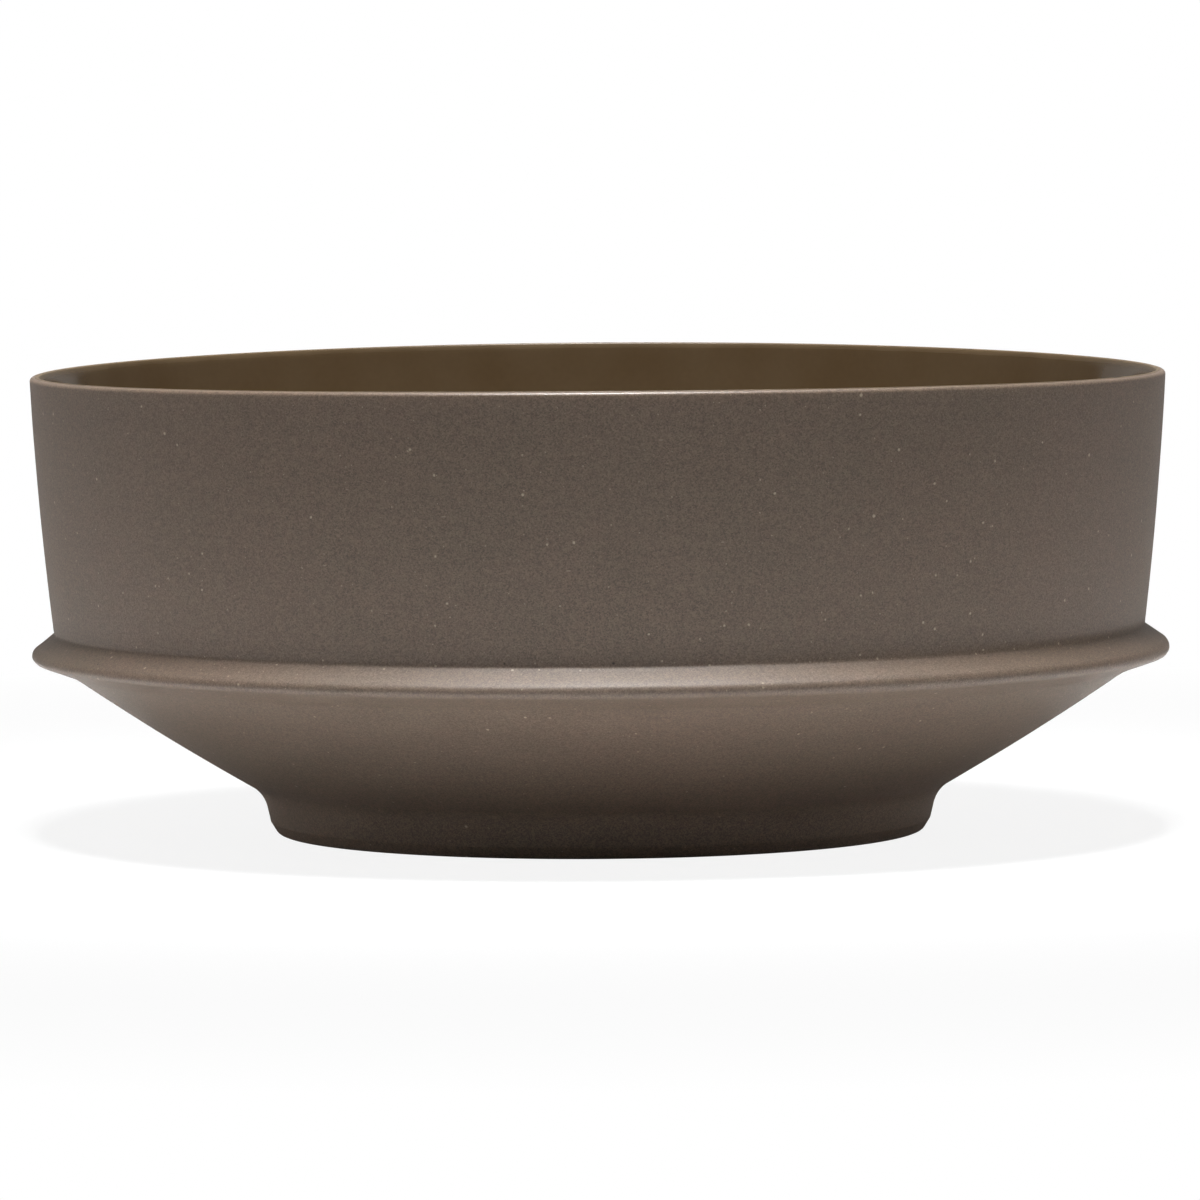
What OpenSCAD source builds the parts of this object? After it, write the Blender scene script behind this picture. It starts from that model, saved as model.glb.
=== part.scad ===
// Footed stoneware serving bowl: an upright wall over a shallow cone, a ring thrown out
// where the two meet, a turned foot, and a glaze lining that rolls over the lip.
// Millimetres, +Z up, origin at the centre of the face that the foot stands on.

/* [Wall] */
// Outside diameter at the crease where the wall runs down into the ring
waist_d = 220.4; // [216:0.2:230]
// How much further out the wall stands at the lip than at the crease
lip_flare = 4.4; // [1:0.1:7]
// How far the wall swells past a straight line
wall_bow = 0.45; // [0.2:0.05:1.5]
// Thickness of the wall
wall_t = 4.6; // [4:0.1:6]
// Height of the clay, from the table to the crest of the lip
clay_h = 93.6; // [80:0.2:110]
// Rounding of the lip's outer edge
lip_outer_r = 2.4; // [1.4:0.1:2.6]
// Rounding of the lip's inner edge
lip_inner_r = 1.3; // [0.8:0.1:1.4]

/* [Ring] */
// How far the ring's nose stands out from the crease
ring_reach = 4.8; // [4:0.1:8]
// Height of the middle of the nose above the table
nose_h = 36.7; // [34:0.1:42]
// Radius of the nose
nose_r = 1.6; // [1:0.1:2]
// Fall of the ring's upper face below level, in degrees
ring_fall = 36.5; // [30:0.5:45]
// Rise of the ring's underside above level, in degrees
ring_rise = 18.5; // [12:0.5:24]
// How far in from the nose's tip the underside meets the cone
under_reach = 8; // [6:0.1:10]
// Blend in the crease above the ring
crease_r = 0.8; // [0.4:0.1:1.5]
// Blend under the ring
under_r = 2; // [1:0.1:4]

/* [Cone] */
// How far the cone swells past a straight line
cone_bow = 0.5; // [0.2:0.05:1.5]
// Thickness of the cone
cone_t = 6; // [5:0.1:7]
// Inside rounding between the wall and the cone
heel_r = 16; // [8:0.5:24]
// Inside rounding between the cone and the floor
floor_r = 34; // [20:1:50]

/* [Foot] */
// Outside diameter of the foot where the cone's line meets it
foot_d = 136.4; // [126:0.2:146]
// Height of that line above the table
foot_h = 8.4; // [7.5:0.1:11]
// Lean of the foot's side from upright, in degrees
foot_lean = 13; // [5:0.5:18]
// Blend from the cone into the foot's side
foot_blend_r = 8.2; // [3:0.1:9]
// Height of the bevel along the foot's lower edge
bevel_h = 2.4; // [2:0.1:3]
// Slope of the bevel above level, in degrees
bevel_rise = 58; // [50:1:70]
// Rounding of the foot's edges
foot_edge_r = 0.8; // [0.4:0.1:1.2]
// Width of the face that the foot stands on
tread_w = 6; // [4:0.2:9]
// Depth of the hollow that is turned out inside the foot
hollow_h = 3.2; // [2:0.1:3.6]
// Slope of the hollow's side above level, in degrees
hollow_rise = 60; // [45:1:75]
// Thickness of the base between the hollow and the floor
base_t = 6.8; // [5:0.1:9]

/* [Glaze] */
// Thickness of the glaze
glaze_t = 0.4; // [0.2:0.05:0.8]
// How far the glaze runs on over the crest of the lip
glaze_lap = 0.3; // [0.1:0.05:0.4]

/* [Hidden] */
clay_colour = "#655b50";
glaze_colour = "#50402c";
// Steps round the revolve and round the small arcs
turn_steps = 240;
arc_steps = 180;
// Steps round the long shallow arcs
long_steps = 2880;
// Overrun of a cut or a fill past the face that it meets
over = 0.4;
// Bite of a rounding past the faces that it joins, so that they cross cleanly
bite = 0.003;

// Directions and rounded corners
function unit(v) = v / norm(v);
function heading(a) = [cos(a), sin(a)];
function outside(a, b) = [unit(b - a).y, -unit(b - a).x];
function bow_r(a, b, bow) = (pow(norm(b - a) / 2, 2) + bow * bow) / (2 * bow);
function bow_centre(a, b, bow) = (a + b) / 2 - outside(a, b) * (bow_r(a, b, bow) - bow);
function corner_centre(p, n1, n2, r) = p - (n1 + n2) * (r / (1 + n1 * n2));
function nearer(s, t) = abs(s) < abs(t) ? s : t;
// Centre of an arc that touches the line through p on its n side and stands reach from c
function beside_line(p, d, n, r, c, reach) =
    let (w = p + n * r - c, m = w * d, q = sqrt(m * m - (w * w - reach * reach)))
    p + n * r + d * nearer(q - m, -q - m);
// Point at height z that stands reach from c, on the side away from the axis
function at_height(z, c, reach) = [c.x + sqrt(reach * reach - pow(z - c.y, 2)), z];
// Point that stands ra from a and rb from b, on the lower outer side
function from_both(a, ra, b, rb) =
    let (d = norm(b - a), x = (ra * ra - rb * rb + d * d) / (2 * d), e = unit(b - a))
    a + e * x + [e.y, -e.x] * sqrt(ra * ra - x * x);

// Outside of the ring
ring_tip_r = waist_d / 2 + ring_reach;
blank_r = ring_tip_r + lip_flare;
nose_c = [ring_tip_r - nose_r, nose_h];
fall_n = heading(90 - ring_fall);
rise_n = heading(ring_rise - 90);
fall_d = [fall_n.y, -fall_n.x];
rise_d = [rise_n.y, -rise_n.x];
nose_tip = nose_c + (fall_n + rise_n) * (nose_r / (1 + fall_n * rise_n));
crease = nose_tip - fall_d * ((nose_tip.x - waist_d / 2) / fall_d.x);
join = nose_tip + rise_d * ((ring_tip_r - under_reach - nose_tip.x) / rise_d.x);

// Outside of the wall, from the crease up to the lip
lip = [waist_d / 2 + lip_flare, clay_h];
wall_r = bow_r(crease, lip, wall_bow);
wall_c = bow_centre(crease, lip, wall_bow);
inner_wall_r = wall_r - wall_t;
lip_out_c = at_height(clay_h - lip_outer_r, wall_c, wall_r - lip_outer_r);
lip_in_c = at_height(clay_h - lip_inner_r, wall_c, inner_wall_r + lip_inner_r);
crease_c = beside_line(crease, fall_d, fall_n, crease_r, wall_c, wall_r + crease_r);

// Outside of the cone, from the foot up to the ring
foot_top = [foot_d / 2, foot_h];
cone_r = bow_r(foot_top, join, cone_bow);
cone_c = bow_centre(foot_top, join, cone_bow);
inner_cone_r = cone_r - cone_t;
under_c = beside_line(join, rise_d, rise_n, under_r, cone_c, cone_r + under_r);

// Outside of the foot
side_n = heading(-foot_lean);
side_d = [side_n.y, -side_n.x];
bevel_n = heading(bevel_rise - 90);
bevel_d = [bevel_n.y, -bevel_n.x];
down_n = [0, -1];
knee = foot_top + side_d * ((bevel_h - foot_h) / side_d.y);
toe = knee - bevel_d * (bevel_h / bevel_d.y);
foot_c = beside_line(foot_top, side_d, side_n, foot_blend_r, cone_c, cone_r + foot_blend_r);

// Hollow under the foot
hollow_n = heading(270 - hollow_rise);
hollow_foot = [toe.x - tread_w, 0];
hollow_d = [hollow_n.y, -hollow_n.x];
hollow_top = hollow_foot + hollow_d * (hollow_h / hollow_d.y);

// Roundings of the foot's edges
knee_c = corner_centre(knee, side_n, bevel_n, foot_edge_r);
toe_c = corner_centre(toe, bevel_n, down_n, foot_edge_r);
tread_c = corner_centre(hollow_foot, hollow_n, down_n, foot_edge_r);
hollow_c = corner_centre(hollow_top, -down_n, -hollow_n, foot_edge_r);

// Inside of the bowl
floor_h = hollow_h + base_t;
heel_c = from_both(wall_c, inner_wall_r - heel_r, cone_c, inner_cone_r - heel_r);
floor_c = at_height(floor_h + floor_r, cone_c, inner_cone_r - floor_r);

// The sliver between two tangents and the arc that joins them: fills a hollow corner,
// or trims a sharp one
module corner(c, r, n1, n2) {
    reach = r + over;
    difference() {
        polygon([c, c + n1 * reach, c + (n1 + n2) * (reach / (1 + n1 * n2)), c + n2 * reach]);
        translate(c) circle(r + bite, $fn = arc_steps);
    }
}

// Everything within the outer face, with sharp corners
module outer_blank() {
    intersection() {
        translate(wall_c) circle(wall_r, $fn = long_steps);
        polygon([[0, crease.y], crease, [blank_r, crease.y], [blank_r, clay_h], [0, clay_h]]);
    }
    polygon([[0, join.y], join, nose_tip, crease, [0, crease.y]]);
    intersection() {
        translate(cone_c) circle(cone_r, $fn = long_steps);
        polygon([[0, foot_h], foot_top, [join.x, foot_h], join, [0, join.y]]);
    }
    polygon([[0, 0], toe, knee, foot_top, [0, foot_h]]);
}

// The hollow inside the bowl, with its walls, heel and floor drawn in by inset
module inner_hollow(inset) {
    difference() {
        intersection() {
            translate(wall_c) circle(inner_wall_r - inset, $fn = long_steps);
            translate(cone_c) circle(inner_cone_r - inset, $fn = long_steps);
            translate([0, floor_h + inset]) square([ring_tip_r, clay_h]);
        }
        corner(heel_c, heel_r - inset, unit(heel_c - wall_c), unit(heel_c - cone_c));
        corner(floor_c, floor_r - inset, unit(floor_c - cone_c), down_n);
    }
}

// Section of the clay, to the right of the axis
module clay_section() {
    difference() {
        union() {
            outer_blank();
            corner(crease_c, crease_r, unit(wall_c - crease_c), -fall_n);
            corner(under_c, under_r, -rise_n, unit(cone_c - under_c));
            corner(foot_c, foot_blend_r, unit(cone_c - foot_c), -side_n);
        }
        inner_hollow(0);
        corner(nose_c, nose_r, fall_n, rise_n);
        corner(lip_out_c, lip_outer_r, unit(lip_out_c - wall_c), -down_n);
        corner(lip_in_c, lip_inner_r, unit(wall_c - lip_in_c), -down_n);
        corner(knee_c, foot_edge_r, side_n, bevel_n);
        corner(toe_c, foot_edge_r, bevel_n, down_n);
        corner(tread_c, foot_edge_r, hollow_n, down_n);
        difference() {
            polygon([[0, -over], [hollow_foot.x, -over], hollow_foot, hollow_top, [0, hollow_h]]);
            corner(hollow_c, foot_edge_r, -down_n, -hollow_n);
        }
    }
}

// Section of the glaze: it lines the clay from the floor to the lip, rolls over the lip's
// inner edge and ends in a soft bead on the crest
module glaze_section() {
    roll_r = lip_inner_r + glaze_t;
    reach = roll_r + over;
    touch = unit(wall_c - lip_in_c) * reach;
    bead_c = [lip_in_c.x + glaze_lap, clay_h];
    difference() {
        union() {
            difference() {
                inner_hollow(-over);
                inner_hollow(glaze_t);
                polygon([
                    lip_in_c, lip_in_c + touch, [0, lip_in_c.y],
                    [0, 2 * clay_h], [blank_r, 2 * clay_h], [blank_r, lip_in_c.y]
                ]);
            }
            intersection() {
                translate(lip_in_c) circle(roll_r + bite, $fn = arc_steps);
                translate(lip_in_c - [reach, reach]) square([reach + glaze_lap, 2 * reach]);
            }
            translate(bead_c) circle(glaze_t + bite, $fn = arc_steps);
            translate(lip_in_c) square([glaze_lap, roll_r]);
        }
        clay_section();
    }
}

module stoneware_body() {
    color(clay_colour) rotate_extrude($fn = turn_steps) clay_section();
}

module inner_glaze() {
    color(glaze_colour) rotate_extrude($fn = turn_steps) glaze_section();
}

stoneware_body();
inner_glaze();
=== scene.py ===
import math

import bmesh
import bpy
from mathutils import Matrix, Vector


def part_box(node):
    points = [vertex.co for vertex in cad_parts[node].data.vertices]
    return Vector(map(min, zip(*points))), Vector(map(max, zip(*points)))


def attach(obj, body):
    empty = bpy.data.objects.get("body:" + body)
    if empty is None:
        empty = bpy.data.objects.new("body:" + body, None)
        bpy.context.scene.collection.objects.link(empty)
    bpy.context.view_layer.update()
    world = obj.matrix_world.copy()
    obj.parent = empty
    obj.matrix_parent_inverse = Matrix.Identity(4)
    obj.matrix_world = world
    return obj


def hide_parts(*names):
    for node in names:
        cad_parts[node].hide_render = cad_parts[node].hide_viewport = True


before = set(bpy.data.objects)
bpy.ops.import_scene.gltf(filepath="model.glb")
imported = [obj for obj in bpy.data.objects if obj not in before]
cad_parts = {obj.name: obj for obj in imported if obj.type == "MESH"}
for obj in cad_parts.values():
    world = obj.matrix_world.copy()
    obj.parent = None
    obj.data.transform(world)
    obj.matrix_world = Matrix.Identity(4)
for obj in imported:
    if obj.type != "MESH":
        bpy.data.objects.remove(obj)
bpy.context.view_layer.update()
bpy.context.scene.view_settings.view_transform = "Standard"

mm = 0.001
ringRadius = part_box("stoneware_body")[1].x / mm  # to the ring's nose
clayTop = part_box("stoneware_body")[1].z / mm
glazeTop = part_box("inner_glaze")[1].z / mm
print("frame loaded:", round(2 * ringRadius, 1), "mm across,", round(glazeTop, 1), "mm high")


# Camera: far off with a long lens, a little above the lip, tipped a touch to one side
cameraView = {
    "distance": 1931.7,  # mm from the bowl's axis
    "lookDown": 3.894,  # degrees
    "aimHeight": 46.5,  # mm above the table
    "aimAside": -0.1,  # mm to the right of the axis
    "tilt": 0.409,  # degrees
    "lens": 287.0,  # mm
    "sensor": 36.0,  # mm
    "farEnd": 100,  # m, past which it sees nothing
}


def setUpCamera(view):
    drop = math.radians(view["lookDown"])
    camera = bpy.data.objects.new("camera", bpy.data.cameras.new("camera"))
    bpy.context.scene.collection.objects.link(camera)
    camera.data.sensor_width = view["sensor"]
    camera.data.lens = view["lens"]
    camera.data.clip_end = view["farEnd"]
    height = view["aimHeight"] + view["distance"] * math.tan(drop)
    camera.location = (view["aimAside"] * mm, -view["distance"] * mm, height * mm)
    turn = Matrix.Rotation(math.pi / 2 - drop, 3, "X")
    turn = turn @ Matrix.Rotation(math.radians(-view["tilt"]), 3, "Z")
    camera.rotation_euler = turn.to_euler()
    bpy.context.scene.camera = camera


setUpCamera(cameraView)
print("camera placed")


# How both pieces are modelled: half an outline is drawn in mm as corners of
# (radius, height, rounding), the corners are rounded, the long runs are cut up and swelled,
# and it is spun round the axis like a template on a wheel.
fewestArcSteps = 4
mostArcSteps = 16
samePlace = 0.005  # mm between points that count as one
mergeWithin = 0.001  # mm


def pickPoints(piece, wanted):
    shape = bmesh.from_edit_mesh(piece.data)
    for vertex in shape.verts:
        vertex.select_set(bool(wanted(vertex.co.x / mm, vertex.co.z / mm)))
    shape.select_flush_mode()
    bmesh.update_edit_mesh(piece.data)


def near(corner):
    return lambda r, z: math.hypot(r - corner[0], z - corner[1]) < samePlace


def drawOutline(name, corners):
    bpy.ops.object.select_all(action="DESELECT")
    bpy.ops.mesh.primitive_plane_add(size=mm)
    piece = bpy.context.object
    piece.name = piece.data.name = name
    bpy.ops.object.mode_set(mode="EDIT")
    bpy.ops.mesh.select_mode(type="VERT")
    bpy.ops.mesh.select_all(action="SELECT")
    bpy.ops.mesh.merge(type="CENTER")
    bpy.ops.transform.translate(value=(corners[0][0] * mm, 0, corners[0][1] * mm))
    for last, corner in zip(corners, corners[1:]):
        step = ((corner[0] - last[0]) * mm, 0, (corner[1] - last[1]) * mm)
        bpy.ops.mesh.extrude_vertices_move(TRANSFORM_OT_translate={"value": step})
    return piece


def roundCorners(piece, corners, stepLength):
    for before, corner, after in zip(corners, corners[1:], corners[2:]):
        if corner[2]:
            inward = Vector(corner[:2]) - Vector(before[:2])
            onward = Vector(after[:2]) - Vector(corner[:2])
            bend = inward.angle(onward)
            steps = round(corner[2] * bend / stepLength)
            steps = min(mostArcSteps, max(fewestArcSteps, steps))
            pickPoints(piece, near(corner))
            size = corner[2] * math.tan(bend / 2) * mm
            fullness = (1 - 0.5 / (1 + math.cos(bend / 2))) ** 2  # makes the bevel a true arc
            bpy.ops.mesh.bevel(offset=size, segments=steps, profile=fullness, affect="VERTICES")


def cutLongRuns(piece, longest):
    edges = bmesh.from_edit_mesh(piece.data).edges
    runs = [[(v.co.x / mm, v.co.z / mm) for v in edge.verts] for edge in edges]
    for start, end in runs:
        cuts = int(math.dist(start, end) / longest)
        if cuts:
            pickPoints(piece, lambda r, z: near(start)(r, z) or near(end)(r, z))
            bpy.ops.mesh.subdivide(number_cuts=cuts)


def swellRun(piece, start, end, bow, reach):
    low = Vector(start[:2])
    along = Vector(end[:2]) - low
    outward = Vector((along.y, -along.x)).normalized()
    shape = bmesh.from_edit_mesh(piece.data)
    for vertex in shape.verts:
        place = Vector((vertex.co.x, vertex.co.z)) / mm - low
        share = place.dot(along) / along.length_squared
        if 0 < share < 1 and abs(place.dot(outward)) < reach:
            move = outward * (bow * 4 * share * (1 - share) * mm)  # most in the middle
            vertex.co.x += move.x
            vertex.co.z += move.y
    bmesh.update_edit_mesh(piece.data)


def spinOutline(piece, steps):
    bpy.ops.mesh.select_all(action="SELECT")
    bpy.ops.mesh.spin(steps=steps, angle=2 * math.pi, center=(0, 0, 0), axis=(0, 0, 1))
    bpy.ops.mesh.select_all(action="SELECT")
    bpy.ops.mesh.remove_doubles(threshold=mergeWithin * mm)
    bpy.ops.mesh.normals_make_consistent(inside=False)
    bpy.ops.object.mode_set(mode="OBJECT")
    bpy.ops.object.shade_smooth()
    print(piece.name, "spun:", len(piece.data.polygons), "faces")


# Drying and firing: the lip rises at front and back, and the ring sits a little off the
# wall's centre and is thicker on the right.
kilnWarp = {
    "saddle": 0.6,  # mm, half of what the lip drops at the sides
    "warpFrom": 41.0,  # mm above the table
    "offCentre": 0.28,  # mm that wall and foot stand to the left of the ring
    "ringFrom": 107.0,  # mm from the axis, where the ring begins
    "ringLow": 32.0,
    "ringHigh": 41.4,
    "ringLift": 0.2,  # mm up on the right and down on the left
    "ringThicker": 0.12,  # share by which the nose is thicker on the right
}


def settleInKiln(piece, warp):
    for vertex in piece.data.vertices:
        r = math.hypot(vertex.co.x, vertex.co.y) / mm
        z = vertex.co.z / mm
        right = vertex.co.x / mm / max(r, 1)
        rise = max(0, z - warp["warpFrom"]) / (glazeTop - warp["warpFrom"])
        z -= 2 * warp["saddle"] * rise * right**2
        onRing = min(1, max(0, (r - warp["ringFrom"]) / (ringRadius - warp["ringFrom"])))
        if not warp["ringLow"] < z < warp["ringHigh"]:
            onRing = 0
        nose = (warp["ringLow"] + warp["ringHigh"]) / 2
        z += onRing * right * (warp["ringLift"] + warp["ringThicker"] * (z - nose) * onRing)
        vertex.co.x -= warp["offCentre"] * (1 - onRing) * mm
        vertex.co.z = z * mm


# "waves" gives mm across a wave, mm from its lowest to its highest, and the level that stays put
def roughen(piece, name, waves, weight):
    size, depth, middle = waves
    texture = bpy.data.textures.new(name, "CLOUDS")
    texture.noise_scale = size * mm
    group = piece.vertex_groups.new(name=name)
    for vertex in piece.data.vertices:
        r = math.hypot(vertex.co.x, vertex.co.y) / mm
        share = weight(r, vertex.co.z / mm)
        if share > 0:
            group.add([vertex.index], min(1, share), "REPLACE")
    bump = piece.modifiers.new(name, "DISPLACE")
    bump.texture = texture
    bump.texture_coords = "LOCAL"
    bump.strength = depth * mm
    bump.mid_level = middle
    bump.vertex_group = name
    bpy.context.view_layer.objects.active = piece
    bpy.ops.object.modifier_apply(modifier=name)


# The clay: foot, cone, ring and wall turned from one body
clayBody = {
    "hollowTop": (57.47, 3.2, 0.8),
    "treadInner": (59.32, 0, 0.8),
    "treadOuter": (65.32, 0, 1.3),
    "knee": (66.81, 2.4, 0.8),
    "footTop": (68.2, 8.4, 8.2),
    "join": (ringRadius - 8.0, 32.87, 2.0),
    "nose": (ringRadius + 1.82, 36.16, 1.6),
    "crease": (ringRadius - 4.8, 41.06, 0.8),
    "lipOuter": (ringRadius - 0.4, glazeTop - 0.12, 0.8),
    "lipInner": (ringRadius - 2.2, glazeTop - 0.12, 0.5),
    "taper": (108.9, 74.0, 120.0),  # the wall thins from here up to the lip
    "heel": (105.41, 38.96, 16.0),
    "floorEdge": (59.49, 10.0, 34.0),
    "wallBow": 0.45,  # mm that the wall stands out between its ends
    "wallReach": 6,  # mm from the wall's outside to the last point that bows with it
    "coneBow": 0.5,
    "coneReach": 8,
    "arcStep": 0.35,  # mm between points round a corner
    "runStep": 1.8,  # mm between points along a run
    "turnSteps": 360,
    "slowWaves": (30, 0.16, 0.5),
    "ringWaves": (9, 0.18, 0.85),
    "joinRidge": (16, 0.3, 0.2),
    "calmBelow": 2,  # mm above the table where the slow waves begin
    "calmFoot": 6,  # mm over which they grow to their full height
    "calmLip": 8,  # mm below the lip over which they die out
    "wallFrom": 41,  # mm above the table
    "wallWithin": 109.8,  # mm from the axis, just inside the foot of the wall's outside
    "coneFrom": 67,  # mm from the axis, just inside the top of the foot
    "coneRise": 0.63,  # mm up for each mm out
    "coneSkin": 1.5,  # mm of clay behind the cone's outside that count with it
    "ringFrom": 108,  # mm from the axis where the ring's waves begin
    "ringFull": 4,  # mm further out, where they have their full height
    "ridgeReach": 0.7,  # mm from the corner under the ring
}


def makeClay(clay):
    order = ["hollowTop", "treadInner", "treadOuter", "knee", "footTop", "join", "nose"]
    order += ["crease", "lipOuter", "lipInner", "taper", "heel", "floorEdge"]
    corners = [clay[name] for name in order]
    corners = [(0, corners[0][1], 0)] + corners + [(0, corners[-1][1], 0)]
    piece = drawOutline("clayBody", corners)
    roundCorners(piece, corners, clay["arcStep"])
    cutLongRuns(piece, clay["runStep"])
    swellRun(piece, clay["crease"], clay["lipOuter"], clay["wallBow"], clay["wallReach"])
    swellRun(piece, clay["footTop"], clay["join"], clay["coneBow"], clay["coneReach"])
    spinOutline(piece, clay["turnSteps"])
    roughen(piece, "slowWaves", clay["slowWaves"], outsideShare)
    roughen(piece, "ringWaves", clay["ringWaves"], ringShare)
    roughen(piece, "joinRidge", clay["joinRidge"], joinShare)
    settleInKiln(piece, kilnWarp)
    return piece


def outsideShare(r, z):
    clay = clayBody
    if z > clay["wallFrom"]:
        outside = r > clay["wallWithin"]
    else:
        out = r - clay["footTop"][0]
        up = z - clay["footTop"][1]
        outside = r > clay["coneFrom"] and out * clay["coneRise"] > up - clay["coneSkin"]
    grown = (z - clay["calmBelow"]) / clay["calmFoot"]
    left = (clayTop - z) / clay["calmLip"]
    return max(0, min(1, grown, left)) if outside else 0


def ringShare(r, z):
    onRing = kilnWarp["ringLow"] < z < kilnWarp["ringHigh"]
    return min(1, (r - clayBody["ringFrom"]) / clayBody["ringFull"]) if onRing else 0


def joinShare(r, z):
    join = clayBody["join"]
    return max(0, 1 - math.hypot(r - join[0], z - join[1]) / clayBody["ridgeReach"])


# The glaze: poured in and swirled, 0.4 mm thick, thinning over the lip's inner edge to a fine bead
glazeLining = {
    "floorEdge": (59.37, 10.4, 33.6),
    "heel": (105.03, 39.19, 15.6),
    "taper": (108.5, 74.1, 120.0),
    "lipRoll": (ringRadius - 2.35, glazeTop, 0.4),
    "bead": (ringRadius - 1.5, glazeTop, 0.1),
    "sunk": 0.06,  # mm that its underside lies within the clay
    "thinDepth": 2.0,  # mm below the lip where the glaze has its full thickness
    "pouredWaves": (24, 0.14, 0.5),
    "calmLip": 12,  # mm below the lip over which the waves die out
    "arcStep": 0.3,
    "runStep": 2.2,
    "turnSteps": 360,
}


def makeGlaze(glaze, clay):
    sunk = glaze["sunk"]
    under = [
        (glaze["bead"][0], clay["lipInner"][1] - sunk, 0),
        (clay["lipInner"][0] + sunk, clay["lipInner"][1] - sunk, clay["lipInner"][2] - sunk),
        (clay["taper"][0] + sunk, clay["taper"][1], clay["taper"][2]),
        (clay["heel"][0] + sunk, clay["heel"][1] - sunk, clay["heel"][2] + sunk),
        (clay["floorEdge"][0], clay["floorEdge"][1] - sunk, clay["floorEdge"][2] + sunk),
    ]
    top = [glaze[name] for name in ["floorEdge", "heel", "taper", "lipRoll", "bead"]]
    corners = [(0, top[0][1], 0)] + top + under + [(0, under[-1][1], 0)]
    piece = drawOutline("glazeLining", corners)
    roundCorners(piece, corners, glaze["arcStep"])
    cutLongRuns(piece, glaze["runStep"])
    swellRun(piece, clay["crease"], clay["lipOuter"], clay["wallBow"], clay["wallReach"])
    swellRun(piece, clay["footTop"], clay["join"], clay["coneBow"], clay["coneReach"])
    spinOutline(piece, glaze["turnSteps"])
    markThinGlaze(piece, glaze)
    roughen(piece, "pouredWaves", glaze["pouredWaves"], insideShare)
    settleInKiln(piece, kilnWarp)
    return piece


def insideShare(r, z):
    return min(1, (glazeTop - z) / glazeLining["calmLip"])


# Glaze runs thin over the lip: 1 on top of it, 0 a little way down the inside
def markThinGlaze(piece, glaze):
    shares = []
    for vertex in piece.data.vertices:
        share = (vertex.co.z / mm - (glazeTop - glaze["thinDepth"])) / glaze["thinDepth"]
        shares.append(min(1, max(0, share)))
    thin = piece.data.attributes.new("thinGlaze", "FLOAT", "POINT")
    thin.data.foreach_set("value", shares)


clayPiece = makeClay(clayBody)
glazePiece = makeGlaze(glazeLining, clayBody)
print("pieces modelled")


# Materials
def hexColour(text):
    shares = [int(text[i : i + 2], 16) / 255 for i in (1, 3, 5)]
    return [s / 12.92 if s <= 0.04045 else ((s + 0.055) / 1.055) ** 2.4 for s in shares] + [1]


def addNode(tree, kind, links=None, **settings):
    node = tree.nodes.new(kind)
    for name, value in settings.items():
        setattr(node, name, value)
    for socket, source in (links or {}).items():
        if isinstance(source, bpy.types.NodeSocket):
            tree.links.new(source, node.inputs[socket])
        else:
            node.inputs[socket].default_value = source
    return node


def startMaterial(name):
    material = bpy.data.materials.new(name)
    material.use_nodes = True
    material.node_tree.nodes.clear()
    return material, material.node_tree


# A point's place on the wheel: round and up as a vector, with the radius apart. Patterns on it
# run round the bowl, as long as "stretch" makes them.
def wheelPlace(tree, stretch):
    place = addNode(tree, "ShaderNodeTexCoord").outputs["Object"]
    flat = addNode(tree, "ShaderNodeVectorMath", {0: place, 1: (1, 1, 0)}, operation="MULTIPLY")
    radius = addNode(tree, "ShaderNodeVectorMath", {0: flat.outputs[0]}, operation="LENGTH")
    around = addNode(tree, "ShaderNodeVectorMath", {0: flat.outputs[0]}, operation="NORMALIZE")
    drawnIn = ringRadius * mm / stretch
    circle = addNode(tree, "ShaderNodeVectorMath", {
        0: around.outputs[0], "Scale": drawnIn}, operation="SCALE")
    height = addNode(tree, "ShaderNodeVectorMath", {0: place, 1: (0, 0, 1)}, operation="MULTIPLY")
    wheel = addNode(tree, "ShaderNodeVectorMath", {
        0: circle.outputs[0], 1: height.outputs[0]}, operation="ADD")
    return place, wheel.outputs[0], radius.outputs["Value"]


def weighPatterns(tree, patterns, start=0.0):
    total = start
    for pattern, weight in patterns:
        total = addNode(tree, "ShaderNodeMath", {
            0: pattern, 1: weight, 2: total}, operation="MULTIPLY_ADD").outputs[0]
    return total


# Small spots, one here and there in cells of a size in mm; "share" is how many cells hold one
def sprinkle(tree, place, cell, spot, share, where=1.0, softness=0.3):
    cells = addNode(tree, "ShaderNodeTexVoronoi", {"Vector": place, "Scale": 1 / (cell * mm)})
    luck = addNode(tree, "ShaderNodeSeparateXYZ", {0: cells.outputs["Color"]})
    size = addNode(tree, "ShaderNodeMapRange", {
        "Value": luck.outputs[0], "From Min": 1 - share, "To Min": 0.0, "To Max": spot / cell})
    size = addNode(tree, "ShaderNodeMath", {0: size.outputs[0], 1: where}, operation="MULTIPLY")
    inside = addNode(tree, "ShaderNodeMath", {
        0: size.outputs[0], 1: cells.outputs["Distance"]}, operation="SUBTRACT")
    edge = softness * spot / cell
    return addNode(tree, "ShaderNodeMapRange", {
        "Value": inside.outputs[0], "From Min": -edge, "From Max": edge}).outputs[0]


# A band round the bowl, given as radius, height and width in mm: 1 within half its width of that
# circle and 0 past its width
def bandRound(tree, place, radius, band):
    out, up, width = [length * mm for length in band]
    height = addNode(tree, "ShaderNodeSeparateXYZ", {0: place})
    section = addNode(tree, "ShaderNodeCombineXYZ", {"X": radius, "Z": height.outputs["Z"]})
    away = addNode(tree, "ShaderNodeVectorMath", {
        0: section.outputs[0], 1: (out, 0, up)}, operation="DISTANCE")
    return addNode(tree, "ShaderNodeMapRange", {
        "Value": away.outputs["Value"], "From Min": 0.5 * width, "From Max": width,
        "To Min": 1.0, "To Max": 0.0}).outputs[0]


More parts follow.
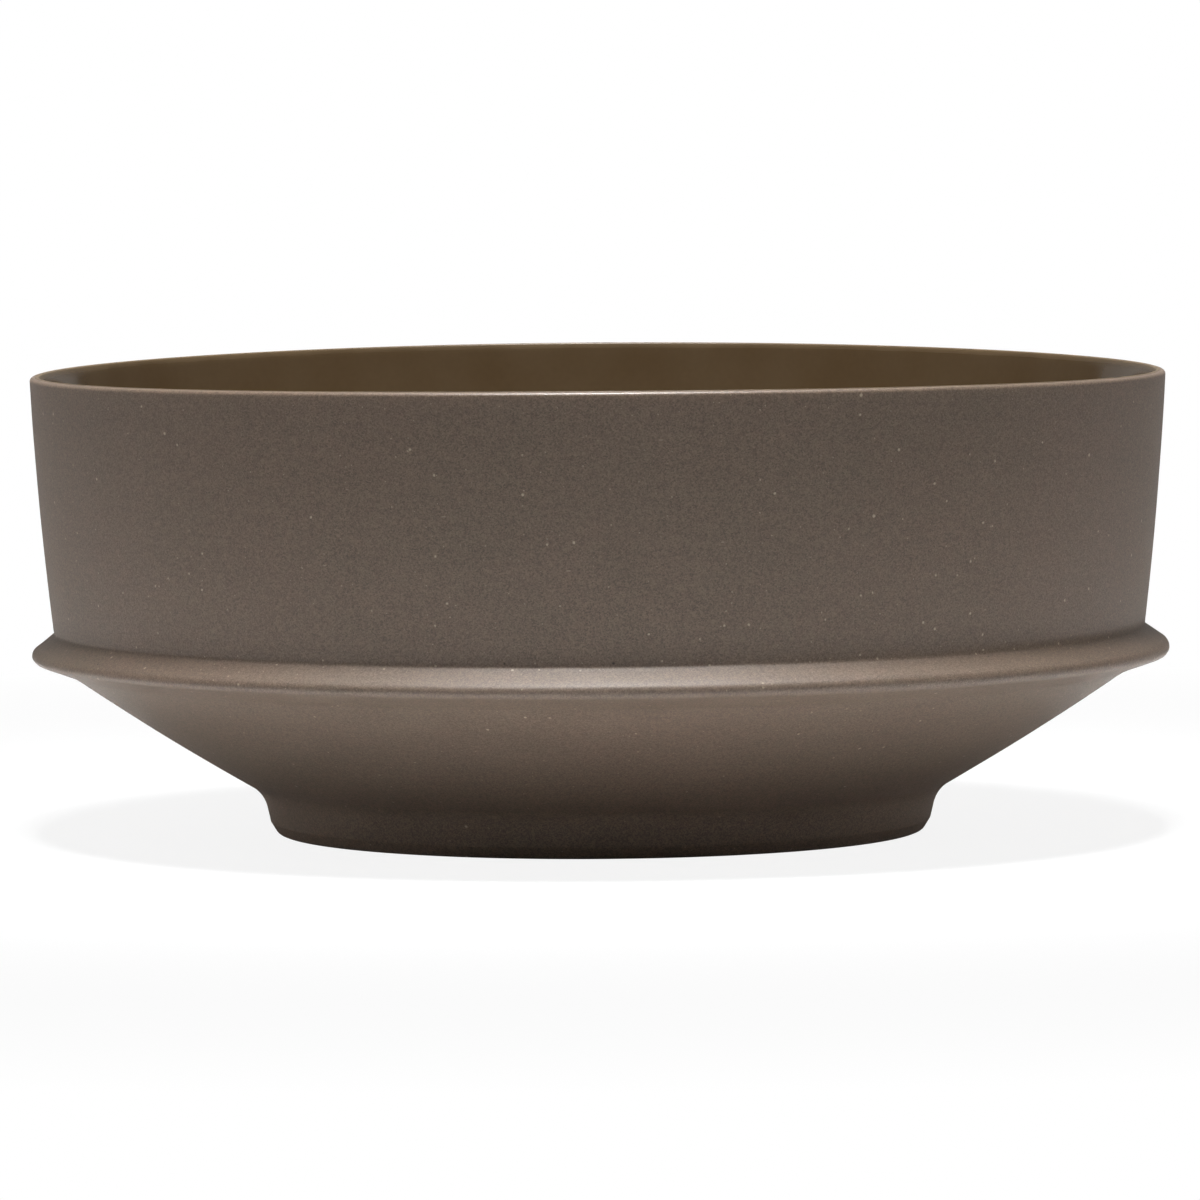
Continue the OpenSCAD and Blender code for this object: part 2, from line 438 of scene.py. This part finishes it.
# Unglazed stoneware: thrown, turned and sponged, fired dense and left bare. The eye gets a dry
# brown skin with a sandy tooth, faint rings from the turning tool, pale grits that the sponge
# uncovered, and a soft sheen where light slides along it.
bareStoneware = {
    "warmClay": "#6e5c4f",
    "coolClay": "#6b5d4f",
    "paleGrit": "#b5a792",
    "nick": "#3a322b",
    "ior": 1.55,
    "roughness": 0.55,
    "roughnessSpread": 0.12,
    "cloud": 28.0,  # mm across the clouds that the kiln leaves
    "cloudShare": 0.06,
    "cloudTint": 1.0,  # how far the clouds pull the clay from cool to warm
    "blush": 2.6,  # mm across the warm and cool touches
    "blushTint": 1.2,
    "sand": 0.22,  # mm, within the 0.1 to 0.3 mm of the real tooth
    "sandShare": 0.7,
    "sandDepth": 0.010,  # mm
    "grain": 0.6,  # mm across the lumps under the tooth
    "grainShare": 0.12,
    "grainDepth": 0.004,
    "turning": 1.5,  # mm between the tool's marks
    "turningShare": 0.12,
    "turningDepth": 0.010,
    "turningStretch": 22,
    "grit": (2.4, 0.34, 0.45),  # mm a cell, mm from a grit's middle to its edge, share of cells
    "fleck": (1.1, 0.17, 0.35),
    "hairline": (1.5, 0.13, 0.35),
    "hairlineStretch": 4,
    "gritRange": (0.3, 0.6),  # levels of the blush between which grits grow to full size
    "gritLeast": 0.3,  # share of that size where the blush is lowest
    "gritCover": 0.8,  # how much of the clay's colour a grit hides
    "fleckCover": 0.55,
    "hairlineCover": 0.4,
    "gritRise": 0.03,  # mm
    "ragged": 0.5,  # mm between the bays in a grit's edge
    "raggedDepth": 0.3,  # mm
    "crumb": (1.3, 0.30, 0.3),
    "slopePolish": 0.02,  # how much smoother the turning tool leaves the ring's slope
    "lipPolish": 0.17,  # and the sponge the lip
    "slopeRings": 0.16,  # share of light that the tool's marks take or give on the slope
    "nickSize": (2.6, 0.34, 0.5),
    "nickDepth": 0.08,  # mm
    "creaseBand": (clayBody["crease"][0] + 0.3, 41.2, 1.5),  # mm: radius, height, width
    "noseBand": (ringRadius - 0.9, 37.6, 1.6),
    "slopeBand": (ringRadius - 2.8, 39.4, 3.0),
    "lipBand": (ringRadius - 1.0, glazeTop - 0.3, 1.6),
}


def makeStoneware(look):
    material, tree = startMaterial("bareStoneware")
    place, wheel, radius = wheelPlace(tree, look["turningStretch"])
    cloud = addNode(tree, "ShaderNodeTexNoise", {
        "Vector": place, "Scale": 1 / (look["cloud"] * mm), "Detail": 3.0}).outputs[0]
    blush = addNode(tree, "ShaderNodeTexNoise", {
        "Vector": place, "Scale": 1 / (look["blush"] * mm), "Detail": 2.0}).outputs[0]
    grain = addNode(tree, "ShaderNodeTexNoise", {
        "Vector": place, "Scale": 1 / (look["grain"] * mm), "Detail": 2.0,
        "Roughness": 0.6}).outputs[0]
    sand = addNode(tree, "ShaderNodeTexVoronoi", {
        "Vector": place, "Scale": 1 / (look["sand"] * mm)})
    sand = addNode(tree, "ShaderNodeSeparateXYZ", {0: sand.outputs["Color"]}).outputs[0]
    turning = addNode(tree, "ShaderNodeTexNoise", {
        "Vector": wheel, "W": radius, "Scale": 1 / (look["turning"] * mm), "Detail": 2.0,
        "Roughness": 0.6}, noise_dimensions="4D").outputs[0]

    crease = bandRound(tree, place, radius, look["creaseBand"])
    nose = bandRound(tree, place, radius, look["noseBand"])
    slope = bandRound(tree, place, radius, look["slopeBand"])
    lip = bandRound(tree, place, radius, look["lipBand"])
    gritHere = addNode(tree, "ShaderNodeMapRange", {
        "Value": blush, "From Min": look["gritRange"][0], "From Max": look["gritRange"][1],
        "To Min": look["gritLeast"]}).outputs[0]
    bays = addNode(tree, "ShaderNodeTexNoise", {
        "Vector": place, "Scale": 1 / (look["ragged"] * mm)}).outputs["Color"]
    ragged = addNode(tree, "ShaderNodeVectorMath", {
        0: bays, 1: [look["raggedDepth"] * mm] * 3, 2: place}, operation="MULTIPLY_ADD").outputs[0]
    grit = sprinkle(tree, ragged, *look["grit"], where=gritHere)
    fleck = sprinkle(tree, ragged, *look["fleck"], where=gritHere)
    drawnOut = wheelPlace(tree, look["hairlineStretch"])[1]
    hairline = sprinkle(tree, drawnOut, *look["hairline"], where=gritHere)
    crumb = sprinkle(tree, place, *look["crumb"], where=crease)
    edges = addNode(tree, "ShaderNodeMath", {0: crease, 1: nose}, operation="MAXIMUM").outputs[0]
    nick = sprinkle(tree, place, *look["nickSize"], where=edges)

    pale = addNode(tree, "ShaderNodeMath", {0: grit, 1: crumb}, operation="MAXIMUM").outputs[0]
    pale = weighPatterns(tree, [
        (hairline, look["hairlineCover"]), (fleck, look["fleckCover"]), (pale, look["gritCover"])])
    tints = [(blush, look["blushTint"]), (cloud, look["cloudTint"])]
    clay = addNode(tree, "ShaderNodeMix", {
        0: weighPatterns(tree, tints, 0.5 - sum(tint for _, tint in tints) / 2),
        6: hexColour(look["coolClay"]), 7: hexColour(look["warmClay"])}, data_type="RGBA")
    shares = [
        (sand, look["sandShare"]), (grain, look["grainShare"]),
        (turning, look["turningShare"]), (cloud, look["cloudShare"])]
    light = weighPatterns(tree, shares, 1 - sum(share for _, share in shares) / 2)
    rings = addNode(tree, "ShaderNodeMath", {0: turning, 1: slope}, operation="MULTIPLY").outputs[0]
    light = weighPatterns(tree, [(rings, look["slopeRings"])], light)
    shaded = addNode(tree, "ShaderNodeVectorMath", {
        0: clay.outputs[2], "Scale": light}, operation="SCALE")
    gritty = addNode(tree, "ShaderNodeMix", {
        0: pale, 6: shaded.outputs[0], 7: hexColour(look["paleGrit"])}, data_type="RGBA")
    nicked = addNode(tree, "ShaderNodeMix", {
        0: nick, 6: gritty.outputs[2], 7: hexColour(look["nick"])}, data_type="RGBA")

    relief = weighPatterns(tree, [
        (sand, look["sandDepth"]), (grain, look["grainDepth"]),
        (turning, look["turningDepth"]), (pale, look["gritRise"]), (nick, -look["nickDepth"])])
    bump = addNode(tree, "ShaderNodeBump", {"Height": relief, "Distance": mm})
    smoothest = look["roughness"] - look["roughnessSpread"] / 2
    rough = weighPatterns(tree, [
        (grain, look["roughnessSpread"]), (slope, -look["slopePolish"]), (lip, -look["lipPolish"])],
        smoothest)
    shader = addNode(tree, "ShaderNodeBsdfPrincipled", {
        "Base Color": nicked.outputs[2], "Roughness": rough, "IOR": look["ior"],
        "Normal": bump.outputs[0]})
    addNode(tree, "ShaderNodeOutputMaterial", {"Surface": shader.outputs[0]})
    return material


# Brown liner glaze: poured in, swirled and poured out. Smooth and half gloss, with a faint
# orange peel, and thin enough over the lip that it breaks to a golden brown.
linerGlaze = {
    "pooled": "#4b3b27",
    "body": "#524330",
    "broken": "#65543d",
    "ior": 1.52,
    "roughness": 0.12,
    "roughnessSpread": 0.08,
    "lipRoughness": 0.3,  # how much rougher it is where it runs thin
    "drift": 18.0,  # mm across the pooled and the plainer patches
    "driftTint": 2.0,  # how far they pull the colour from pooled to body
    "breakRange": (0.35, 1.0),  # shares of thinness between which it breaks
    "breakWaver": 0.6,  # and how far the drift moves them
    "peel": 2.2,  # mm across the dimples of the orange peel
    "peelDepth": 0.004,
    "mottle": 1.1,  # mm; the melt's own fine mottle, drawn as coarse as it needs to show
    "mottleShare": 0.16,
    "pinhole": (5.0, 0.2, 0.3),
    "pinholeDepth": 0.02,
}


def makeLinerGlaze(look):
    material, tree = startMaterial("linerGlaze")
    place = addNode(tree, "ShaderNodeTexCoord").outputs["Object"]
    drift = addNode(tree, "ShaderNodeTexNoise", {
        "Vector": place, "Scale": 1 / (look["drift"] * mm), "Detail": 3.0}).outputs[0]
    peel = addNode(tree, "ShaderNodeTexNoise", {
        "Vector": place, "Scale": 1 / (look["peel"] * mm), "Detail": 1.0}).outputs[0]
    mottle = addNode(tree, "ShaderNodeTexNoise", {
        "Vector": place, "Scale": 1 / (look["mottle"] * mm), "Detail": 3.0}).outputs[0]
    pinhole = sprinkle(tree, place, *look["pinhole"])
    thin = addNode(tree, "ShaderNodeAttribute", attribute_name="thinGlaze").outputs["Fac"]
    waver = look["breakWaver"]
    wavyThin = weighPatterns(tree, [(drift, waver), (thin, 1.0)], -waver / 2)
    broken = addNode(tree, "ShaderNodeMapRange", {
        "Value": wavyThin, "From Min": look["breakRange"][0],
        "From Max": look["breakRange"][1]}, interpolation_type="SMOOTHSTEP")
    inside = addNode(tree, "ShaderNodeMix", {
        0: weighPatterns(tree, [(drift, look["driftTint"])], 0.5 - look["driftTint"] / 2),
        6: hexColour(look["pooled"]), 7: hexColour(look["body"])}, data_type="RGBA")
    overLip = addNode(tree, "ShaderNodeMix", {
        0: broken.outputs[0], 6: inside.outputs[2], 7: hexColour(look["broken"])}, data_type="RGBA")
    light = weighPatterns(tree, [(mottle, look["mottleShare"])], 1 - look["mottleShare"] / 2)
    mottled = addNode(tree, "ShaderNodeVectorMath", {
        0: overLip.outputs[2], "Scale": light}, operation="SCALE")
    relief = weighPatterns(tree, [(peel, look["peelDepth"]), (pinhole, -look["pinholeDepth"])])
    bump = addNode(tree, "ShaderNodeBump", {"Height": relief, "Distance": mm})
    smoothest = look["roughness"] - look["roughnessSpread"] / 2
    rough = weighPatterns(tree, [
        (drift, look["roughnessSpread"]), (thin, look["lipRoughness"])], smoothest)
    shader = addNode(tree, "ShaderNodeBsdfPrincipled", {
        "Base Color": mottled.outputs[0], "Roughness": rough, "IOR": look["ior"],
        "Normal": bump.outputs[0]})
    addNode(tree, "ShaderNodeOutputMaterial", {"Surface": shader.outputs[0]})
    return material


clayPiece.data.materials.append(makeStoneware(bareStoneware))
glazePiece.data.materials.append(makeLinerGlaze(linerGlaze))

for piece, node, slot in [
    (clayPiece, "stoneware_body", "stoneware"),
    (glazePiece, "inner_glaze", "glaze"),
]:
    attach(piece, "root")
    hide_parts(node)
print("materials made")


# Studio: a pale floor and a white backdrop in a dim room, a soft box over the bowl and a little in
# front, and a dim panel on each side and behind that gives no highlights. The camera sees the floor
# as white far off, and close to the bowl it sees a little of the floor's own light and shadow too.
studio = {
    "floorRadius": 4000,  # mm
    "floorCorners": 128,
    "floorColour": "#f6f7f8",
    "shadowShare": 0.12,  # how much of its own light and shadow the camera sees by the bowl
    "fadeFrom": 200,  # mm from the bowl's axis
    "fadeTo": 450,
    "reflectedFrom": 200,  # and where its white begins to show in a reflection
    "reflectedTo": 1500,
    "reflectedShare": 0.4,  # the most of it that a reflection sees
    "backdropMiddle": -0.055,  # sideways part of the direction from the bowl to its middle
    "backdropHalf": 0.67,  # and from its middle to its edge
    "backdropEdge": 0.02,  # half the width of its soft edge
    "backdropGlow": 0.35,  # how bright a reflection sees it
    "roomGlow": 0.06,  # and the rest of the room
    "roomLight": 0.135,  # and what lights the bowl and the floor from all sides
}
lamps = {  # places and sizes in mm, spreads in degrees
    "softBox": {"place": (0, -150, 1000), "size": (300, 300), "watts": 1.24, "spread": 34},
    "leftPanel": {"place": (-950, 300, 200), "size": (600, 400), "watts": 2.2, "mirrored": False},
    "rightPanel": {"place": (950, 300, 200), "size": (600, 400), "watts": 1.5, "mirrored": False},
    "backPanel": {"place": (0, 1000, 300), "size": (600, 400), "watts": 1.5, "mirrored": False},
}
bowlMiddle = (0, 0, 50)  # mm, where the lamps aim


# 1 for what the camera sees, straight or in a mirror or glass
def seenRays(tree):
    path = addNode(tree, "ShaderNodeLightPath")
    mirrored = addNode(tree, "ShaderNodeMath", {
        0: path.outputs["Is Glossy Ray"], 1: path.outputs["Is Transmission Ray"]},
        operation="MAXIMUM")
    return path.outputs["Is Camera Ray"], mirrored.outputs[0]


def makeFloor(look):
    bpy.ops.object.select_all(action="DESELECT")
    bpy.ops.mesh.primitive_circle_add(
        vertices=look["floorCorners"], radius=look["floorRadius"] * mm, fill_type="NGON"
    )
    floor = bpy.context.object
    floor.name = "floor"
    material, tree = startMaterial("paleFloor")
    place = addNode(tree, "ShaderNodeTexCoord").outputs["Object"]
    away = addNode(tree, "ShaderNodeVectorMath", {0: place}, operation="LENGTH")
    white = addNode(tree, "ShaderNodeMapRange", {
        "Value": away.outputs["Value"], "From Min": look["fadeFrom"] * mm,
        "From Max": look["fadeTo"] * mm, "To Min": 1 - look["shadowShare"]})
    reflected = addNode(tree, "ShaderNodeMapRange", {
        "Value": away.outputs["Value"], "From Min": look["reflectedFrom"] * mm,
        "From Max": look["reflectedTo"] * mm, "To Max": look["reflectedShare"]})
    straight, mirrored = seenRays(tree)
    seen = addNode(tree, "ShaderNodeMath", {
        0: white.outputs[0], 1: straight}, operation="MULTIPLY").outputs[0]
    seen = addNode(tree, "ShaderNodeMath", {
        0: reflected.outputs[0], 1: mirrored, 2: seen}, operation="MULTIPLY_ADD")
    paint = addNode(tree, "ShaderNodeBsdfDiffuse", {"Color": hexColour(look["floorColour"])})
    glow = addNode(tree, "ShaderNodeEmission", {"Strength": 1.0})
    mixed = addNode(tree, "ShaderNodeMixShader", {
        0: seen.outputs[0], 1: paint.outputs[0], 2: glow.outputs[0]})
    addNode(tree, "ShaderNodeOutputMaterial", {"Surface": mixed.outputs[0]})
    floor.data.materials.append(material)


def makeRoom(look):
    world = bpy.data.worlds.new("whiteRoom")
    bpy.context.scene.world = world
    world.use_nodes = True
    tree = world.node_tree
    tree.nodes.clear()
    direction = addNode(tree, "ShaderNodeTexCoord").outputs["Generated"]
    towards = addNode(tree, "ShaderNodeSeparateXYZ", {0: direction})
    aside = addNode(tree, "ShaderNodeMath", {
        0: towards.outputs["X"], 1: look["backdropMiddle"]}, operation="SUBTRACT")
    aside = addNode(tree, "ShaderNodeMath", {0: aside.outputs[0]}, operation="ABSOLUTE")
    across = addNode(tree, "ShaderNodeMapRange", {
        "Value": aside.outputs[0], "From Min": look["backdropHalf"] + look["backdropEdge"],
        "From Max": look["backdropHalf"] - look["backdropEdge"]}).outputs[0]
    behind = addNode(tree, "ShaderNodeMath", {
        0: towards.outputs["Y"], 1: 0.0}, operation="GREATER_THAN")
    backdrop = addNode(tree, "ShaderNodeMath", {
        0: across, 1: behind.outputs[0]}, operation="MULTIPLY").outputs[0]
    backdrop = addNode(tree, "ShaderNodeMapRange", {
        "Value": backdrop, "To Min": look["roomGlow"], "To Max": look["backdropGlow"]}).outputs[0]
    straight, mirrored = seenRays(tree)
    reflected = addNode(tree, "ShaderNodeMath", {
        0: mirrored, 1: backdrop}, operation="MULTIPLY").outputs[0]
    unseen = addNode(tree, "ShaderNodeMath", {0: 1.0, 1: mirrored}, operation="SUBTRACT").outputs[0]
    lighting = addNode(tree, "ShaderNodeMath", {
        0: unseen, 1: look["roomLight"], 2: reflected}, operation="MULTIPLY_ADD").outputs[0]
    strength = addNode(tree, "ShaderNodeMath", {
        0: straight, 1: lighting}, operation="MAXIMUM").outputs[0]
    shader = addNode(tree, "ShaderNodeBackground", {
        "Color": (1, 1, 1, 1), "Strength": strength})
    addNode(tree, "ShaderNodeOutputWorld", {"Surface": shader.outputs[0]})


def makeLamp(name, lamp):
    light = bpy.data.lights.new(name, "AREA")
    light.shape = "RECTANGLE"
    light.size, light.size_y = [side * mm for side in lamp["size"]]
    light.energy = lamp["watts"]
    light.spread = math.radians(lamp.get("spread", 180))
    holder = bpy.data.objects.new(name, light)
    holder.visible_camera = False
    holder.visible_glossy = lamp.get("mirrored", True)
    bpy.context.scene.collection.objects.link(holder)
    holder.location = [c * mm for c in lamp["place"]]
    aim = Vector(bowlMiddle) * mm - holder.location
    holder.rotation_euler = aim.to_track_quat("-Z", "Y").to_euler()


makeFloor(studio)
makeRoom(studio)
for lampName, lampSettings in lamps.items():
    makeLamp(lampName, lampSettings)
print("studio lit")
